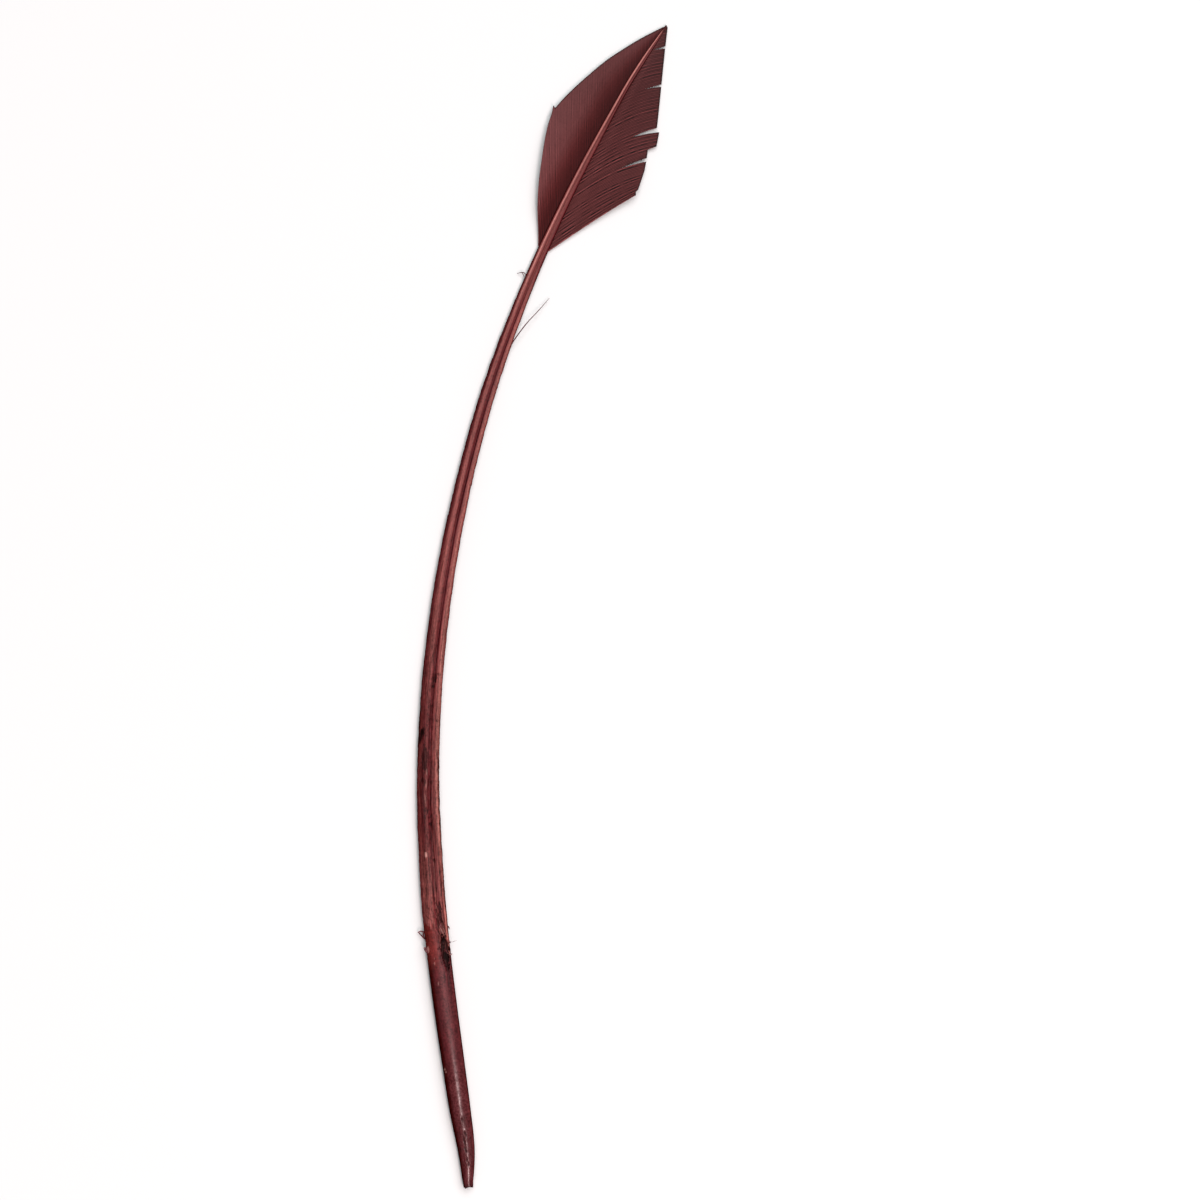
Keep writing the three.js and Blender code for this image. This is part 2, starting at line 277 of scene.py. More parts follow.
# The edges that lost their barbs are slightly ragged. The dry butt is chipped.
edge = np.sign(part)
nicks = EDGE_NICKS * grain(ring_y * 1500, edge * 3.5, 7) + EDGE_WAVES * grain(ring_y * 420, edge * 5.5, 8)
butt_nicks = BUTT_NICKS * grain(ring_y * 900, edge * 2.5, 17) * ease(-0.158, -0.162, ring_y)
ragged = nicks * squared * (1 - blade) + butt_nicks
sideways = part * width / 2 + ragged * edge * np.abs(part) ** 3
shaft_x = rows[:, 0, None] + across[:, 0, None] * sideways
shaft_y = ring_y + across[:, 1, None] * sideways
shaft_z = up + height / 2 * (1 - BACK_FLAT) + lift
shaft_points = np.stack([shaft_x, shaft_y, shaft_z], axis=-1)


def cap_rings(points, direction, steps):
    """Rings that close an end: the last ring drawn in to a part of its size and moved along the shaft."""
    centre = points.mean(axis=0)
    return np.stack([centre + (points - centre) * size + direction * shift for size, shift in steps])


# The butt was cut and dried to a shallow ragged cup. The tip is trimmed off bluntly. Rows give the rings
# that close each end: share of the end section's size, and shift along the shaft.
BUTT_CUP = ((0.04, 0.0016), (0.35, 0.0014), (0.6, 0.0008), (0.82, 0.0001))
TIP_END = ((0.7, 0.00012), (0.05, 0.00018))

butt_axis = np.append(along[0], 0)
tip_axis = np.append(along[-1], 0)
chips = grain(np.arange(part.size) * 0.37, np.zeros(part.size), 9)
shaft_points[0] += BUTT_CHIPS * chips[:, None] * butt_axis
butt = cap_rings(shaft_points[0], butt_axis, BUTT_CUP)
tip = cap_rings(shaft_points[-1], tip_axis, TIP_END)
shaft_points = np.concatenate([butt, shaft_points, tip])


def grid_faces(grid_rows, grid_columns, wrap):
    """Quads between neighbouring rows and columns of a grid of points. With wrap, the last column joins the
    first one."""
    row = np.arange(grid_rows - 1)[:, None] * grid_columns
    column = np.arange(grid_columns if wrap else grid_columns - 1)[None, :]
    right = (column + 1) % grid_columns
    corners = (row + column, row + right, row + grid_columns + right, row + grid_columns + column)
    return np.stack(corners, axis=-1).reshape(-1, 4)


def add_piece(name, points, faces, layers):
    """Makes a piece from whole arrays: points (n, 3), a list of arrays of corner numbers, and one value or
    vector for each point in each named layer. It rides on the feather's only body."""
    mesh = bpy.data.meshes.new(name)
    corners = np.concatenate([face.ravel() for face in faces]).astype(np.int32)
    sizes = np.concatenate([np.full(len(face), face.shape[1]) for face in faces])
    mesh.vertices.add(len(points))
    mesh.vertices.foreach_set("co", points.astype(np.float32).ravel())
    mesh.loops.add(len(corners))
    mesh.loops.foreach_set("vertex_index", corners)
    mesh.polygons.add(len(sizes))
    mesh.polygons.foreach_set("loop_start", (np.cumsum(sizes) - sizes).astype(np.int32))
    mesh.polygons.foreach_set("use_smooth", np.ones(len(sizes), bool))
    mesh.update(calc_edges=True)
    for layer, values in layers.items():
        kind, field = ("FLOAT", "value") if values.ndim == 1 else ("FLOAT_VECTOR", "vector")
        mesh.attributes.new(layer, kind, "POINT").data.foreach_set(field, values.astype(np.float32).ravel())
    piece = bpy.data.objects.new(name, mesh)
    bpy.context.scene.collection.objects.link(piece)
    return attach(piece, "root")


def fan_faces(first, count, centre, outward):
    """Triangles from a ring of points to one centre point."""
    ring = first + np.arange(count)
    following = first + (np.arange(count) + 1) % count
    middle = np.full(count, centre)
    return np.stack([middle, ring, following] if outward else [middle, following, ring], axis=-1)


ring_count, ring_size = shaft_points.shape[:2]
flat_points = shaft_points.reshape(-1, 3)
end_points = np.stack([shaft_points[0].mean(axis=0), shaft_points[-1].mean(axis=0)])
all_points = np.concatenate([flat_points, end_points])
pad = ((len(butt), len(tip)), (0, 0))
lay = np.stack([np.broadcast_to(values, up.shape) for values in (ring_y, part, is_top)], axis=-1)
wear = np.stack([stain, pale, stripped], axis=-1)
lay, wear = (np.pad(layer, pad + ((0, 0),), mode="edge").reshape(-1, 3) for layer in (lay, wear))
lay = np.concatenate([lay, lay[:1], lay[-1:]])
# The butt cup's centre point is darkened through the stain layer: painted shade at the bottom of the hollow
# end.
wear = np.concatenate([wear, [(0.8, 0.0, 0.0), (0.0, 0.0, 1.0)]])
shaft_faces = [
    grid_faces(ring_count, ring_size, True),
    fan_faces(0, ring_size, len(flat_points), False),
    fan_faces((ring_count - 1) * ring_size, ring_size, len(flat_points) + 1, True),
]
shaft = add_piece("quill_shaft", all_points, shaft_faces, {"lay": lay, "wear": wear})
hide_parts("shaft")


LIGHT_LEVEL = 1.52    # what a perfectly white surface sends back, where 1 is white on screen
GLOSS_LEVEL = 0.012   # what the gloss adds to a dyed surface


def dye(red, green, blue):
    """The colour that looks like this on screen, 0 to 255, under the studio light: the linear value, less
    what the gloss adds, divided by the level of the light."""
    screen = np.array([red, green, blue]) / 255
    linear = np.where(screen <= 0.04045, screen / 12.92, ((screen + 0.055) / 1.055) ** 2.4)
    return (*(np.maximum(linear - GLOSS_LEVEL, 0.003) / LIGHT_LEVEL).tolist(), 1.0)


class Wire:
    """An output of a shader node. Sums, products and so on of wires and numbers add their Math nodes."""

    def __init__(self, finish, socket):
        self.finish = finish
        self.socket = socket

    def output(self, name):
        return Wire(self.finish, self.socket.node.outputs[name])

    def math(self, operation, first, second=0.0):
        return self.finish.node("ShaderNodeMath", {"operation": operation}, {0: first, 1: second})

    def __add__(self, other):
        return self.math("ADD", self, other)

    def __radd__(self, other):
        return self.math("ADD", other, self)

    def __sub__(self, other):
        return self.math("SUBTRACT", self, other)

    def __rsub__(self, other):
        return self.math("SUBTRACT", other, self)

    def __mul__(self, other):
        return self.math("MULTIPLY", self, other)

    def __rmul__(self, other):
        return self.math("MULTIPLY", other, self)

    def __abs__(self):
        return self.math("ABSOLUTE", self)


MATTE_WIDTH = 0.25    # how far the gloss takes to fade


class Finish:
    """A material, built node by node."""

    def __init__(self, name):
        self.material = bpy.data.materials.new(name)
        self.material.use_nodes = True
        self.tree = self.material.node_tree
        self.tree.nodes.clear()

    def node(self, kind, settings, sockets):
        """Adds a node, sets it up, and gives its sockets values or wires. Returns its first output."""
        node = self.tree.nodes.new(kind)
        for name, value in settings.items():
            if name == "stops":
                self.set_stops(node.color_ramp, value)
            else:
                setattr(node, name, value)
        for name, value in sockets.items():
            if isinstance(value, Wire):
                self.tree.links.new(value.socket, node.inputs[name])
            else:
                node.inputs[name].default_value = value
        return Wire(self, next((socket for socket in node.outputs if socket.enabled), None))

    def set_stops(self, ramp, stops):
        ramp.interpolation = "EASE"
        for position, colour in stops[2:]:
            ramp.elements.new(position)
        for element, (position, colour) in zip(ramp.elements, stops):
            element.position = position
            element.color = colour

    def attribute(self, name):
        return self.node("ShaderNodeAttribute", {"attribute_name": name}, {}).output("Vector")

    def parts(self, vector):
        """The three parts of a vector, as wires."""
        split = self.node("ShaderNodeSeparateXYZ", {}, {0: vector})
        return split, split.output("Y"), split.output("Z")

    def vector(self, x, y, z):
        return self.node("ShaderNodeCombineXYZ", {}, {0: x, 1: y, 2: z})

    def ramp(self, factor, stops):
        return self.node("ShaderNodeValToRGB", {"stops": stops}, {0: factor})

    def band(self, value, low, high):
        """0 at low and 1 at high, eased between."""
        settings = {"interpolation_type": "SMOOTHSTEP", "clamp": True}
        return self.node("ShaderNodeMapRange", settings, {0: value, 1: low, 2: high})

    def stretch(self, value, begin, end):
        """1 between two bands, and 0 before the first one and past the second one."""
        return self.band(value, *begin) * self.band(value, *end)

    def noise(self, vector, scale, detail, roughness):
        sockets = {"Vector": vector, "Scale": scale, "Detail": detail, "Roughness": roughness}
        return self.node("ShaderNodeTexNoise", {"noise_dimensions": "3D"}, sockets)

    def mix(self, factor, first, second, blend="MIX"):
        settings = {"data_type": "RGBA", "blend_type": blend}
        return self.node("ShaderNodeMix", settings, {0: factor, 6: first, 7: second})

    def shaded(self, colour, shade):
        """The colour times the shade."""
        return self.mix(1.0, colour, self.vector(shade, shade, shade), "MULTIPLY")

    def bump(self, height, distance, strength):
        sockets = {"Height": height, "Distance": distance, "Strength": strength}
        return self.node("ShaderNodeBump", {}, sockets)

    def surface(self, sockets, matte_from=None):
        """The finished material. With matte_from, its gloss fades where the surface turns away by more than
        that share, from 0 face on to 1 edge on."""
        shader = self.node("ShaderNodeBsdfPrincipled", {}, sockets)
        if matte_from is not None:
            matte = sockets | {"Specular IOR Level": 0.0, "Coat Weight": 0.0}
            matte = self.node("ShaderNodeBsdfPrincipled", {}, matte)
            facing = self.node("ShaderNodeLayerWeight", {}, {"Blend": 0.5}).output("Facing")
            share = self.band(facing, matte_from, matte_from + MATTE_WIDTH)
            shader = self.node("ShaderNodeMixShader", {}, {0: share, 1: shader, 2: matte})
        self.node("ShaderNodeOutputMaterial", {}, {"Surface": shader})
        return self.material


# Stretches of the shaft, by their y: where each begins, and where it is in full.
LOWER_PART = (0.030, -0.040)
FOOT_STRIPES = (-0.060, -0.078)
HIGH_STRIPES = (-0.040, -0.004)
BLADE_STRIPES = (0.075, 0.100)
TIP_STRIPES = (0.128, 0.142)
DARK_TIP = (0.1605, 0.1620)
FOOT_WEAR = (-0.070, -0.084)
DULL_FROM, DULL_TO = (0.030, 0.048), (0.080, 0.070)
PITS_FROM, PITS_TO = (-0.004, -0.024), (-0.084, -0.064)
ROOT_SKIN = (-0.104, -0.096)
FRAYED = (-0.126, -0.106)
CHIPS_FROM, CHIPS_TO = (-0.1405, -0.1440), (-0.1580, -0.1540)
DARK_BUTT = (-0.1612, -0.1628)
WORN = (-0.134, -0.112)
GLAZED = (-0.120, -0.142)


def shaft_noise(finish, lay, per_metre, per_half_width, shift, detail, roughness):
    """Noise drawn out along the shaft: so many spots a metre along it, and a half width across it."""
    far_along, aside, top = lay
    place = finish.vector(far_along * per_metre, aside * per_half_width, top + shift if shift else top)
    return finish.noise(place, 1.0, detail, roughness)


def rachis_colour(finish, lay, lower, streak, fine, speck, crack, pits):
    """The stripped rachis: stripes along it in ten tones, the dye with painted shade and painted highlights
    on its relief, then fibres, cracks and pits.
    """
    far_along, aside, _ = lay
    shadow, deep, groove, dusk = dye(67, 26, 27), dye(84, 36, 38), dye(98, 43, 46), dye(104, 50, 52)
    body, warm, light = dye(115, 57, 56), dye(121, 61, 61), dye(136, 76, 73)
    ridge, bright, gleam = dye(149, 83, 80), dye(167, 105, 98), dye(206, 137, 130)

    # Each stretch has its own stripes, from the left edge at 0 to the right edge at 1: rim, flank, ridge,
    # groove, second ridge and rim. The dark rims, flank and groove are painted shade, and the pale ridges
    # are painted highlights over the dye. They waver with the streaks.
    across_it = aside * 0.5 + 0.5 + (streak - 0.5) * 0.06
    foot = finish.ramp(across_it, (
        (0.00, dusk), (0.16, light), (0.47, light), (0.56, dusk), (0.64, light), (0.72, dusk),
        (0.82, light), (0.90, body), (0.96, bright), (1.00, warm),
    ))
    low = finish.ramp(across_it, (
        (0.00, deep), (0.14, body), (0.28, groove), (0.40, body), (0.52, dusk), (0.60, groove),
        (0.70, body), (0.80, body), (0.90, bright), (0.96, bright), (1.00, warm),
    ))
    high = finish.ramp(across_it, (
        (0.00, deep), (0.12, dusk), (0.28, ridge), (0.41, ridge), (0.50, warm), (0.59, groove),
        (0.67, groove), (0.79, ridge), (0.88, bright), (0.95, ridge), (1.00, groove),
    ))
    in_blade = finish.ramp(across_it, (
        (0.00, shadow), (0.08, deep), (0.18, ridge), (0.29, gleam), (0.39, ridge), (0.50, body),
        (0.67, light), (0.80, warm), (0.92, groove), (1.00, shadow),
    ))
    near_tip = finish.ramp(across_it, (
        (0.00, shadow), (0.14, body), (0.29, gleam), (0.42, bright), (0.56, deep), (0.72, warm),
        (0.86, deep), (1.00, shadow),
    ))
    colour = finish.mix(finish.band(far_along, *FOOT_STRIPES), low, foot)
    colour = finish.mix(finish.band(far_along, *HIGH_STRIPES), colour, high)
    colour = finish.mix(finish.band(far_along, *BLADE_STRIPES), colour, in_blade)
    colour = finish.mix(finish.band(far_along, *TIP_STRIPES), colour, near_tip)
    colour = finish.mix(finish.band(far_along, *DARK_TIP), colour, dye(74, 34, 35))

    # Lower down the shaft the fibres stand out more.
    worn_foot = finish.band(far_along, *FOOT_WEAR)
    lines = shaft_noise(finish, lay, 14, 9.0, 2, 2.0, 0.5)
    shade = 1.03 + worn_foot * 0.12 + (streak - 0.5) * (1.0 + lower * 1.4 + worn_foot * 1.6)
    shade = shade + (lines - 0.5) * (0.9 + lower * 0.9)
    shade = shade + (fine - 0.5) * (2.0 + lower * 1.4 + worn_foot * 0.8) + (speck - 0.5) * 1.8
    shade = shade - finish.stretch(far_along, DULL_FROM, DULL_TO) * 0.13
    colour = finish.shaded(colour, shade)
    colour = finish.mix(crack * 0.7, colour, dye(62, 22, 24))
    return finish.mix(pits * 0.75, colour, dye(66, 24, 28))


def calamus_colour(finish, lay, streak, fine, speck, mottle):
    """The calamus: darker at its sides with painted shade, lighter just right of its middle with a painted
    highlight, and mottled. By the torn edge it is redder on the left and frayed on the right."""
    far_along, aside, _ = lay
    # Painted shade on both sides of the round calamus, and a painted highlight just right of its middle.
    colour = finish.ramp(aside * 0.5 + 0.5, (
        (0.00, dye(46, 10, 16)),
        (0.12, dye(72, 27, 32)),
        (0.28, dye(92, 42, 45)),
        (0.42, dye(101, 50, 53)),
        (0.54, dye(110, 58, 60)),
        (0.68, dye(104, 53, 56)),
        (0.82, dye(92, 44, 47)),
        (0.94, dye(100, 52, 54)),
        (1.00, dye(64, 24, 28)),
    ))
    reddened = finish.band(far_along, *ROOT_SKIN) * finish.band(aside, 0.25, -0.15)
    colour = finish.mix(reddened, colour, finish.mix(0.6, colour, dye(138, 58, 54)))
    frayed = finish.band(far_along, *FRAYED) * finish.band(aside, -0.1, 0.3)
    shade = 1 + (mottle - 0.5) * 1.5 + (speck - 0.5) * 2.6 + (streak + fine - 1) * frayed * 2.2
    return finish.shaded(colour, shade)


def keratin_finish():
    """Dyed horn: glossy and even on the calamus, and streaked with fibres where the barbs were stripped.
    Across both, painted shade and highlights stand in for the light on their round and ridged sections.
    """
    finish = Finish("dyed_keratin")
    lay = finish.parts(finish.attribute("lay"))
    far_along, aside, _ = lay
    stained, pale, stripped = finish.parts(finish.attribute("wear"))
    streak = shaft_noise(finish, lay, 45, 3.6, 0, 5.0, 0.65)
    fine = shaft_noise(finish, lay, 300, 5.0, 0, 5.0, 0.75)
    mottle = shaft_noise(finish, lay, 330, 1.6, 0, 4.0, 0.6)
    speck = shaft_noise(finish, lay, 1500, 5, 0, 3.0, 0.7)
    seam = shaft_noise(finish, lay, 20, 3.0, 5, 5.0, 0.6)
    pits = shaft_noise(finish, lay, 520, 4.6, 9, 3.0, 0.7)

    # Cracks follow one level of a slow noise. Pits are the high spots of another, down the rachis's middle.
    lower = finish.band(far_along, *LOWER_PART)
    crack = finish.band(abs(seam - 0.5), 0.016, 0.004) * lower * stripped
    pits = finish.band(pits, 0.53, 0.60) * finish.stretch(far_along, PITS_FROM, PITS_TO)
    pits = pits * finish.band(abs(aside + 0.02), 0.52, 0.28)
    chipped = finish.stretch(far_along, CHIPS_FROM, CHIPS_TO) * finish.band(speck, 0.45, 0.53)
    stained = stained * (0.62 + finish.band(fine + mottle, 0.90, 1.08) * 0.38)

    calamus = calamus_colour(finish, lay, streak, fine, speck, mottle)
    rachis = rachis_colour(finish, lay, lower, streak, fine, speck, crack, pits)
    colour = finish.mix(stripped, calamus, rachis)
    colour = finish.mix(pale, colour, dye(232, 172, 162))
    colour = finish.mix(stained, colour, dye(44, 14, 19))
    # The butt's end is darker, with painted shade in its hollow cup.
    colour = finish.mix(finish.band(far_along, *DARK_BUTT) * 0.7, colour, dye(48, 16, 20))
    chipped_middle = chipped * finish.band(abs(aside - 0.15), 0.42, 0.12)
    colour = finish.mix(chipped_middle * 0.45, colour, dye(52, 18, 22))

    height = streak * 0.5 + fine * 0.5 - crack * 0.8 - pits * 0.3
    height = height * (stripped * 0.8 + 0.06) + mottle * 0.10 + chipped * 0.20
    worn = finish.band(far_along, *WORN)
    roughness = 0.27 + worn * 0.26 + stripped * 0.06 + (speck - 0.5) * 0.35 + stained * 0.3
    glaze = finish.band(far_along, *GLAZED) * finish.band(speck + mottle, 0.86, 1.10)
    glaze = glaze * (1 - chipped) * (1 - stained) * 0.8
    return finish.surface({
        "Base Color": colour, "Roughness": roughness, "Normal": finish.bump(height, 0.00025, 0.6),
        "Specular IOR Level": 0.18, "Coat Weight": glaze, "Coat Roughness": 0.25, "Coat IOR": 1.5,
    }, matte_from=0.12)


shaft.data.materials.append(keratin_finish())


# ---------------------------------------------------------------- the vanes
# On each side of the tip the rachis keeps its barbs: half a millimetre apart, each a flattened ridge with a
# web of barbules on both sides that hooks it to its neighbours. Both vanes were trimmed to a lance's shape.

BLADE_FROM, BLADE_TO = 0.0996, 0.1627
BLADE_STEPS = 900
BARBS = 112               # on each side
LONGEST_BARB = 0.046
LINE_STEPS = 140          # along each barb's line, before it is cut to length
BARB_RINGS = 46
VANE_ROOT_PLACE = 0.40    # of the shaft's width, from its middle
VANE_ROOT_HEIGHT = 0.42   # of the shaft's height
VANE_CURVE_POWER = 1.6

# A barb's ridge is higher at the root than at the tip, with a bead where it joins the rachis. Each barb
# wanders a little up and down. Towards the tip of the feather they are slimmer.
ROOT_RIDGE = 0.00015
TIP_RIDGE = 0.00003
ROOT_BEAD = 0.00014
BARB_WANDER = 0.00005
SLIMMER_FROM, SLIMMER_TO = 0.135, 0.160
TINT_PERIOD = 2.35        # barbs from one dark one to the next

# One barb's section, as places across its share of the vane and heights in metres: webs, ridge and back.
SECTION_PLACE = np.array([-0.54, -0.33, -0.15, 0.0, 0.15, 0.33, 0.54, 0.36, 0.0, -0.36])
SECTION_WEB = np.array([-0.05, -0.01, 0.01, 0.0, 0.01, 0.03, 0.05, -0.07, -0.11, -0.11]) * 0.001
SECTION_RIDGE = np.array([0.0, 0.1, 0.62, 1.0, 0.62, 0.1, 0.0, 0.0, -0.25, 0.0])

blade_t = np.interp(np.linspace(BLADE_FROM, BLADE_TO, BLADE_STEPS), dense_y, dense_t)
blade_rows = shaft_at(blade_t)[0]
blade_length = np.append(0, np.cumsum(np.linalg.norm(np.diff(blade_rows[:, :2], axis=0), axis=1)))


def open_splits(line, distance, splits, side, is_outside):
    """Spreads a vane's barbs at its splits. Past a split's inner point the barbs before it bend back and
    those after it bend on, square to their length: by half the gap, times the share of the way out, times
    e to the minus power 1.5 of the barbs between as a share of the spread."""
    barb = np.arange(len(line))
    middle = line[:, 3]
    heading = np.gradient(middle, axis=1)
    heading /= np.linalg.norm(heading, axis=-1, keepdims=True)
    onward = np.stack([heading[..., 1], -heading[..., 0]], axis=-1) * -side
    move = np.zeros_like(line)
    for inner_x, inner_y, gap, spread in splits:
        far = np.hypot(middle[..., 0] - inner_x, middle[..., 1] - inner_y)
        nearest, step = np.unravel_index(far.argmin(), far.shape)
        end = distance[(is_outside(*middle[nearest, step:].T) > 0).argmax() + step]
        before = barb <= nearest
        steps_away = np.where(before, nearest - barb, barb - nearest - 1)
        amount = np.where(before, -0.5, 0.5) * gap * np.exp(-(steps_away / spread) ** 1.5)
        opened = np.clip((distance - distance[step]) / (end - distance[step]), 0, 1.3)
        move += (amount[:, None, None] * opened)[..., None] * onward[:, None]
    return line + move


def lay_barbs(side, fan, splits, is_outside):
    """Lines of a vane, as points (barb, line of its section, ring), with the distance along each line and
    its whole length. A line leaves the rachis at its root angle, in degrees, and turns by its turn times the
    power 1.5 of the distance in units of 25 mm. It ends where it crosses the vane's outline. Rows of the fan
    give share of the blade, root angle and turn."""
    number = np.arange(BARBS)[:, None] + 0.5 + SECTION_PLACE[None, :]
    share = 0.998 * number / BARBS
    root_t = np.interp(share * blade_length[-1], blade_length, blade_t)
    rows, _, across = shaft_at(root_t)
    root = rows[..., :2] + side * across * rows[..., 2:3] * VANE_ROOT_PLACE
    distance = np.linspace(0, LONGEST_BARB, LINE_STEPS)
    stations, root_angle, turn = np.transpose(fan)
    start = np.radians(np.interp(share, stations, root_angle))[..., None]
    bend = np.radians(np.interp(share, stations, turn))[..., None]
    angle = start - bend * (distance / 0.025) ** 1.5
    heading = np.stack([np.cos(angle), np.sin(angle)], axis=-1)
    steps = np.cumsum((heading[..., 1:, :] + heading[..., :-1, :]) / 2 * distance[1], axis=-2)
    line = root[..., None, :] + np.concatenate([np.zeros_like(steps[..., :1, :]), steps], axis=-2)
    line = open_splits(line, distance, splits, side, is_outside)
    beyond = is_outside(line[..., 0], line[..., 1])
    beyond[..., 0] = -1e-6
    last = np.where((beyond > 0).any(axis=-1), (beyond > 0).argmax(axis=-1), LINE_STEPS - 1)[..., None]
    inner = np.take_along_axis(beyond, last - 1, -1)
    outer = np.take_along_axis(beyond, last, -1)
    reach = (last - 1 + np.clip(-inner / (outer - inner), 0, 1)) * distance[1]
    out = reach * np.linspace(0, 1, BARB_RINGS)
    step = np.minimum((out / distance[1]).astype(int), LINE_STEPS - 2)[..., None]
    rest = out[..., None] / distance[1] - step
    points = np.take_along_axis(line, step, -2) * (1 - rest) + np.take_along_axis(line, step + 1, -2) * rest
    return points, out, reach


def sheet_height(points, rises, rise_at):
    """Height of a vane's sheet: the root's height on the rachis, plus the rise there times the power 1.6 of
    the distance from the rachis as a share of rise_at. Rows of rises give y and rise."""
    flat = points.reshape(-1, 2)
    rise = np.interp(flat[:, 1], *np.transpose(rises))
    line = blade_rows[::6]
    gap = np.hypot(flat[:, None, 0] - line[None, :, 0], flat[:, None, 1] - line[None, :, 1])
    nearest = gap.argmin(axis=1)
    from_side = np.maximum(gap.min(axis=1) - line[nearest, 2] / 2, 0)
    root = line[nearest, 4] + VANE_ROOT_HEIGHT * line[nearest, 3]
    height = root + rise * (from_side / rise_at) ** VANE_CURVE_POWER
    return height.reshape(points.shape[:-1])


def add_vane(name, side, points, out, reach, rises, rise_at, seed):
    """Joins a vane's barbs in one mesh. Each is a closed strip: its section carried along its line."""
    count = len(points)
    chance = np.random.default_rng(seed)
    height = sheet_height(points, rises, rise_at)
    share_out = out / reach
    slimmer = 1 - 0.75 * ease(SLIMMER_FROM, SLIMMER_TO, points[:, 3, None, :1, 1])
    ridge = (ROOT_RIDGE * (1 - share_out) ** 0.7 + TIP_RIDGE) * slimmer
    bead = ROOT_BEAD * bump(out, 0.0005, 0.00035) * slimmer
    wander = BARB_WANDER * grain(np.arange(count)[:, None, None] * 0.9, out * 160, seed)
    height = height + SECTION_WEB[None, :, None] + SECTION_RIDGE[None, :, None] * (ridge + bead) + wander
    strips = np.concatenate([points, height[..., None]], axis=-1).transpose(0, 2, 1, 3)
    ring = len(SECTION_PLACE)
    flat = strips.reshape(-1, 3)
    ends = np.concatenate([strips[:, 0].mean(axis=1), strips[:, -1].mean(axis=1)])
    quads = grid_faces(BARB_RINGS, ring, True)
    start = (np.arange(count) * BARB_RINGS * ring)[:, None, None]
    quads = (quads[None] + start).reshape(-1, 4)
    first_rings = start.ravel()
    last_rings = first_rings + (BARB_RINGS - 1) * ring
    middles = len(flat) + np.arange(2 * count)
    fans = [fan_faces(first, ring, middle, False) for first, middle in zip(first_rings, middles[:count])]
    fans += [fan_faces(first, ring, middle, True) for first, middle in zip(last_rings, middles[count:])]
    faces = [quads, np.concatenate(fans)]
    if side > 0:
        faces = [face[:, ::-1] for face in faces]
    shares = np.broadcast_to(share_out, points.shape[:-1])
    weave = np.stack([shares, out, np.broadcast_to(SECTION_PLACE[None, :, None], shares.shape)], axis=-1)
    weave = weave.transpose(0, 2, 1, 3).reshape(-1, 3)

    # Barbs differ in shade: in small groups, and each a little from its neighbours. The first is the palest.
    barb = np.arange(count)
    groups = np.cos(2 * np.pi * barb / TINT_PERIOD + 1.4 * grain(barb / 9, 0 * barb, seed + 1))
    jitter = chance.normal(0, 1, count)
    jitter = jitter - (np.roll(jitter, 1) + np.roll(jitter, -1)) / 2
    shades = groups * (0.9 + 0.4 * grain(barb / 5, 0 * barb, seed + 2)) + 0.4 * jitter
    shades[0] = 2.5
    tint = np.repeat(shades, BARB_RINGS * ring)
    end_weave = np.repeat([(0.0, 0.0, 0.0), (1.0, 0.02, 0.0)], count, axis=0)
    rest = np.broadcast_to(reach - out, shares.shape).transpose(0, 2, 1).ravel()
    layers = {
        "weave": np.concatenate([weave, end_weave]),
        "tint": np.concatenate([tint, np.zeros(2 * count)]),
        "rest": np.concatenate([rest, np.full(count, 0.01), np.zeros(count)]),
    }
    return add_piece(name, np.concatenate([flat, ends]), faces, layers)


RIBS = 26000      # radians a metre: a rib every quarter of a millimetre
RIB_SLANT = 9


def barb_finish(name, stops, full_reach, ridge_highlight_colour, root_ridge, tint_strength, tip_shade):
    """Dyed barbs: a colour that changes along each barb, by its length over the full reach or, on a short
    barb, 0.85 of its share, whichever is more. The ridge has a painted highlight colour of its own, as
    strong as root_ridge at the root and 0.6 further out. Each barb is a shade apart, with barbules that
    slant away from the ridge as fine ribs. The cut ends are darker with painted shade, and the vane is
    darker towards its tip."""
    finish = Finish(name)
    share, out, place = finish.parts(finish.attribute("weave"))
    tint = finish.attribute("tint").output("Fac")
    rest = finish.attribute("rest").output("Fac")
    where = finish.node("ShaderNodeTexCoord", {}, {}).output("Object")
    going_out = share.math("MAXIMUM", out * (1 / full_reach), share * 0.85)
    colour = finish.ramp(going_out, stops)
    rib = out.math("SINE", out * RIBS - abs(place) * RIB_SLANT)
    crest = 1 - finish.band(abs(place), 0.06, 0.26)
    patch = finish.noise(where, 170.0, 3.0, 0.5)
    stroke = finish.band(finish.noise(where, 420.0, 2.0, 0.5), 0.38, 0.60)
    speck = finish.noise(where, 1700.0, 2.0, 0.6)
    near_tip = finish.band(finish.parts(where)[1], 0.118, 0.158)
    # Painted highlight along each barb's ridge.
    ridge = crest * (root_ridge + finish.band(going_out, 0.2, 0.6) * (0.6 - root_ridge))
    colour = finish.mix(ridge, colour, ridge_highlight_colour)
    shade = 0.94 + tint * tint_strength * (0.3 + stroke) * (1 - near_tip * 0.6) + (patch - 0.5) * 0.25
    shade = shade + (speck - 0.5) * 0.45 + rib * 0.04
    # Darker towards the vane's tip, and painted shade at the barbs' cut ends.
    shade = shade * (1 - near_tip * tip_shade) * (1 - finish.band(rest, 0.0007, 0.0002) * 0.5)
    colour = finish.shaded(colour, shade)
    normal = finish.bump(rib * (1 - crest), 0.00002, 0.3)
    return finish.surface({
        "Base Color": colour, "Roughness": 0.75, "Normal": normal, "Specular IOR Level": 0.2,
    })


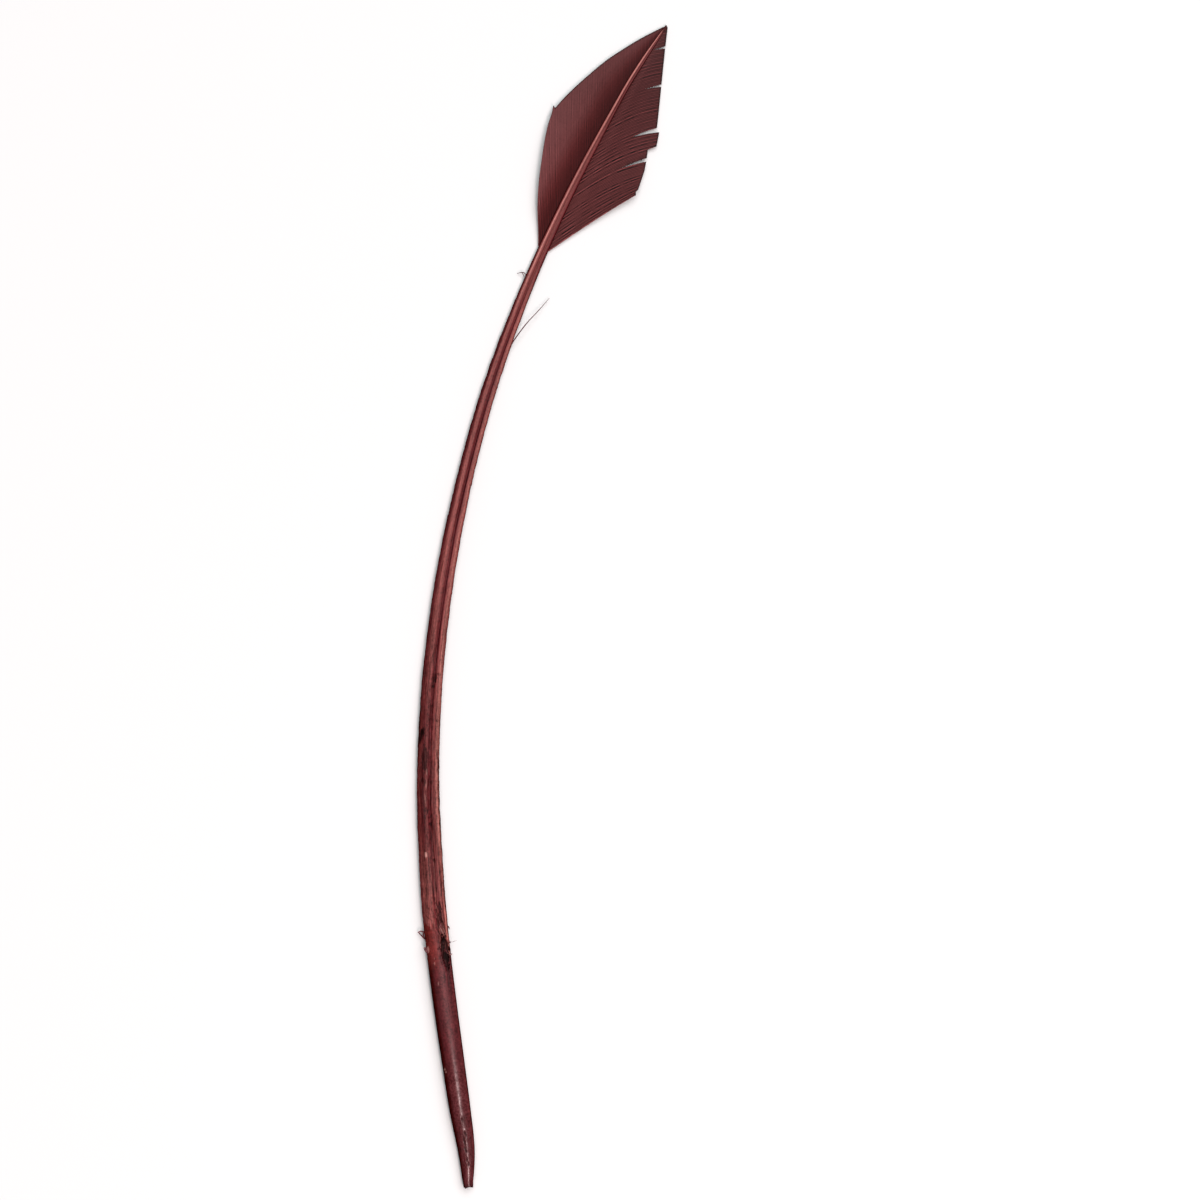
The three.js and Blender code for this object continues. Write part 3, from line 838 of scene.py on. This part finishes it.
# The left vane is the narrow one. Its barbs run almost along the rachis, and a smooth cut with one corner
# ends them.
LEFT_SIDE = np.array([
    (-0.0011, 0.0990), (-0.0011, 0.1054), (-0.0013, 0.1105), (-0.0012, 0.1145), (-0.0007, 0.1205),
    (0.0006, 0.1294), (0.0016, 0.1345), (0.0029, 0.1387),
])
LEFT_TOP = np.array([
    (0.0029, 0.1387), (0.0064, 0.1427), (0.0114, 0.1475), (0.0179, 0.1530), (0.0231, 0.1565),
    (0.0277, 0.1593), (0.0325, 0.1618), (0.0357, 0.1633),
])
left_side = spline(LEFT_SIDE, np.linspace(0, 1, 200))
left_top = spline(LEFT_TOP, np.linspace(0, 1, 200))


LONGER_BARB_X = 0.0032
LONGER_BY = 0.0012


def outside_left(x, y):
    """Above 0 left of the side cut or above the top cut, where one barb is left a little longer."""
    beyond_side = np.interp(y, left_side[:, 1], left_side[:, 0]) - x
    longer = LONGER_BY * bump(x, LONGER_BARB_X, 0.0003)
    beyond_top = y - np.interp(x, left_top[:, 0], left_top[:, 1]) - longer
    return np.maximum(beyond_side, beyond_top)


LEFT_FAN = ((0.0, 94, 2), (0.25, 91, 3), (0.5, 89, 3), (0.75, 89, 1), (1.0, 92, 0))
LEFT_RISES = (
    (0.100, 0.0130), (0.110, 0.0110), (0.120, 0.0060), (0.130, 0.0032), (0.139, 0.0012), (0.163, 0.0008),
)
LEFT_RISE_AT = 0.014
left = lay_barbs(-1, LEFT_FAN, (), outside_left)
barbs_left = add_vane("barbs_left", -1, *left, LEFT_RISES, LEFT_RISE_AT, 21)
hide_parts("vane_left")
# The left barbs' colour along them is partly dye and partly painted light: painted shade beside the rachis,
# and a paler, greyer painted sheen further out.
barbs_left.data.materials.append(barb_finish(
    name="left_barbs",
    stops=(
        (0.00, dye(74, 27, 28)),
        (0.16, dye(82, 33, 34)),
        (0.28, dye(92, 38, 39)),
        (0.38, dye(101, 43, 44)),
        (0.48, dye(112, 53, 54)),
        (0.58, dye(120, 64, 65)),
        (0.70, dye(131, 75, 76)),
        (1.00, dye(133, 80, 81)),
    ),
    full_reach=0.021, ridge_highlight_colour=dye(128, 74, 74), root_ridge=0.25, tint_strength=0.22, tip_shade=0.30,
))

# The right vane is the wide one. It was cut straight, and the hooks have let go in four places, where it is
# split. A strip of edge is missing between the third split and the fourth. Rows of the splits give the
# inner point, the gap at the edge and the spread in barbs.
RIGHT_CUT = np.array([
    (0.02630, 0.11600), (0.02696, 0.11660), (0.02876, 0.12210), (0.02926, 0.12490), (0.02968, 0.12815),
    (0.03208, 0.12885), (0.03290, 0.13305), (0.03212, 0.13315), (0.03220, 0.13400), (0.03259, 0.13730),
    (0.03342, 0.14550), (0.03453, 0.15640), (0.03535, 0.16330),
])
RIGHT_SPLITS = (
    (0.0302, 0.1559, 0.00070, 5),
    (0.0284, 0.1447, 0.00070, 6),
    (0.0247, 0.1310, 0.00132, 9),
    (0.0212, 0.1220, 0.00100, 8),
)


def outside_right(x, y):
    """Above 0 right of the cut."""
    return x - np.interp(y, RIGHT_CUT[:, 1], RIGHT_CUT[:, 0])


RIGHT_FAN = (
    (0.0, 34.5, 4), (0.2, 35, 22), (0.36, 34, 27), (0.62, 30.5, 58), (0.86, 16, 100), (1.0, 12, 100),
)
RIGHT_RISES = ((0.100, 0.0030), (0.116, 0.0022), (0.124, 0.0010), (0.135, 0.0004), (0.163, 0.0))
RIGHT_RISE_AT = 0.017
right = lay_barbs(1, RIGHT_FAN, RIGHT_SPLITS, outside_right)
barbs_right = add_vane("barbs_right", 1, *right, RIGHT_RISES, RIGHT_RISE_AT, 22)
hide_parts("vane_right")
barbs_right.data.materials.append(barb_finish(
    name="right_barbs",
    stops=(
        (0.00, dye(104, 55, 55)),
        (0.18, dye(108, 59, 59)),
        (0.34, dye(96, 51, 51)),
        (1.00, dye(80, 40, 40)),
    ),
    full_reach=1.0, ridge_highlight_colour=dye(126, 74, 75), root_ridge=0.6, tint_strength=0.52, tip_shade=0.28,
))


# ---------------------------------------------------------------- what hangs loose
# A single barb that stripping left behind, a curled scrap of another, and shreds of the skin that was torn
# off round the umbilicus. All still hang on the shaft.

STRAND_RINGS = 48
STRAND_SIDES = 10


def add_strands(name, paths):
    """Joins thin strands, one for each path: a circle carried along a smooth curve through the rows, which
    give its x, y, z and radius, and closed at both ends."""
    angle = np.linspace(0, 2 * np.pi, STRAND_SIDES, endpoint=False)[None, :, None]
    points, faces, ends = [], [], []
    total = len(paths) * STRAND_RINGS * STRAND_SIDES
    for number, path in enumerate(paths):
        rows = spline(np.array(path), np.linspace(0, 1, STRAND_RINGS))
        heading = np.gradient(rows[:, :3], axis=0)
        heading /= np.linalg.norm(heading, axis=1, keepdims=True)
        side = np.cross(heading, (0, 0, 1))
        side /= np.linalg.norm(side, axis=1, keepdims=True)
        top = np.cross(side, heading)
        circle = side[:, None] * np.cos(angle) - top[:, None] * np.sin(angle)
        points.append((rows[:, None, :3] + circle * rows[:, None, 3:]).reshape(-1, 3))
        ends.append(rows[[0, -1], :3])
        first = number * STRAND_RINGS * STRAND_SIDES
        last = first + (STRAND_RINGS - 1) * STRAND_SIDES
        faces.append(grid_faces(STRAND_RINGS, STRAND_SIDES, True) + first)
        faces.append(fan_faces(first, STRAND_SIDES, total + 2 * number, False))
        faces.append(fan_faces(last, STRAND_SIDES, total + 2 * number + 1, True))
    return add_piece(name, np.concatenate(points + ends), faces, {})


def strand_finish(name, colour, pale_colour):
    """A single dyed fibre, paler in places where the dye has not taken."""
    finish = Finish(name)
    where = finish.node("ShaderNodeTexCoord", {}, {}).output("Object")
    blotch = finish.band(finish.noise(where, 900.0, 3.0, 0.6), 0.48, 0.70)
    return finish.surface({
        "Base Color": finish.mix(blotch, colour, pale_colour), "Roughness": 0.6, "Specular IOR Level": 0.3,
    })


LOOSE_PATHS = (
    ((-0.0092, 0.0722, 0.0021, 0.00014), (-0.0083, 0.0738, 0.0024, 0.00017),
     (-0.0071, 0.0755, 0.0027, 0.00016), (-0.0053, 0.0779, 0.0029, 0.00015),
     (-0.0036, 0.0800, 0.0026, 0.00013), (-0.0012, 0.0826, 0.0020, 0.00011),
     (0.0020, 0.0864, 0.0010, 0.00006)),
    ((-0.0042, 0.0927, 0.0010, 0.00008), (-0.0050, 0.0934, 0.0014, 0.00012),
     (-0.0058, 0.0936, 0.0012, 0.00012), (-0.0070, 0.0934, 0.0005, 0.00005)),
    ((-0.0050, 0.0924, 0.0009, 0.00006), (-0.0053, 0.0930, 0.0012, 0.00009),
     (-0.0056, 0.0935, 0.0012, 0.00008)),
)
loose_barbs = add_strands("loose_barbs", LOOSE_PATHS)
loose_barbs.data.materials.append(strand_finish("loose_barb_fibre", dye(92, 42, 46), dye(128, 74, 76)))

SHRED_PATHS = (
    ((-0.0325, -0.0910, 0.0022, 0.00020), (-0.0334, -0.0913, 0.0022, 0.00022),
     (-0.0341, -0.0912, 0.0019, 0.00018), (-0.0349, -0.0916, 0.0013, 0.00010)),
    ((-0.0322, -0.0934, 0.0018, 0.00020), (-0.0330, -0.0932, 0.0017, 0.00024),
     (-0.0338, -0.0925, 0.0016, 0.00018), (-0.0348, -0.0915, 0.0013, 0.00012)),
    ((-0.0330, -0.0914, 0.0021, 0.00014), (-0.0333, -0.0921, 0.0020, 0.00020),
     (-0.0331, -0.0930, 0.0018, 0.00014)),
    ((-0.0268, -0.0936, 0.0030, 0.00020), (-0.0261, -0.0940, 0.0033, 0.00022),
     (-0.0256, -0.0943, 0.0031, 0.00010)),
    ((-0.0263, -0.0975, 0.0029, 0.00020), (-0.0256, -0.0976, 0.0032, 0.00024),
     (-0.0252, -0.0973, 0.0031, 0.00010)),
    ((-0.0262, -0.0936, 0.0031, 0.00005), (-0.0254, -0.0941, 0.0028, 0.00005),
     (-0.0240, -0.0938, 0.0018, 0.00003)),
    ((-0.0266, -0.0895, 0.0034, 0.00016), (-0.0261, -0.0898, 0.0036, 0.00018),
     (-0.0259, -0.0905, 0.0034, 0.00008)),
    ((-0.0286, -0.0880, 0.0050, 0.00012), (-0.0283, -0.0895, 0.0054, 0.00014),
     (-0.0281, -0.0912, 0.0050, 0.00008)),
    ((-0.0272, -0.0958, 0.0046, 0.00010), (-0.0268, -0.0963, 0.0050, 0.00016),
     (-0.0263, -0.0971, 0.0046, 0.00008)),
    ((-0.0311, -0.0964, 0.0042, 0.00034), (-0.0319, -0.0965, 0.0039, 0.00072),
     (-0.0329, -0.0958, 0.0028, 0.00036)),
)
torn_shreds = add_strands("torn_shreds", SHRED_PATHS)
torn_shreds.data.materials.append(strand_finish("torn_skin", dye(100, 38, 46), dye(206, 150, 150)))


# ---------------------------------------------------------------- paper and light
# A white sheet of paper under a large soft light from above. A narrow warm light glints on the shaft.

PAPER_SIZE = 30.0     # from its middle to each edge
PAPER_LEVEL = -0.00002

paper_corners = np.array([(-1, -1, 0), (1, -1, 0), (1, 1, 0), (-1, 1, 0)]) * PAPER_SIZE
paper_mesh = bpy.data.meshes.new("paper")
paper_mesh.from_pydata((paper_corners + (0, 0, PAPER_LEVEL)).tolist(), [], [(0, 1, 2, 3)])
paper = bpy.data.objects.new("paper", paper_mesh)
bpy.context.scene.collection.objects.link(paper)
paper_finish = Finish("white_paper")
paper_mesh.materials.append(paper_finish.surface({
    "Base Color": (0.685, 0.702, 0.704, 1.0), "Roughness": 0.9, "Specular IOR Level": 0.1,
}))


def add_light(name, place, size, watts, colour):
    """A rectangular area light that faces the feather's middle."""
    data = bpy.data.lights.new(name, "AREA")
    data.shape = "RECTANGLE"
    data.size, data.size_y = size
    data.energy = watts
    data.color = colour
    light = bpy.data.objects.new(name, data)
    light.location = place
    light.rotation_euler = light.location.to_track_quat("Z", "Y").to_euler()
    bpy.context.scene.collection.objects.link(light)


add_light("key", (1.20, 1.74, 5.22), (5.4, 5.4), 414.0, (1.0, 1.0, 1.0))
add_light("strip", (0.30, -0.54, 1.25), (0.12, 0.42), 8.0, (1.0, 0.76, 0.74))

world = bpy.data.worlds.new("studio")
world.use_nodes = True
world.node_tree.nodes["Background"].inputs["Color"].default_value = (1.0, 1.0, 1.0, 1.0)
world.node_tree.nodes["Background"].inputs["Strength"].default_value = 0.22
bpy.context.scene.world = world
bpy.context.scene.view_settings.view_transform = "Standard"
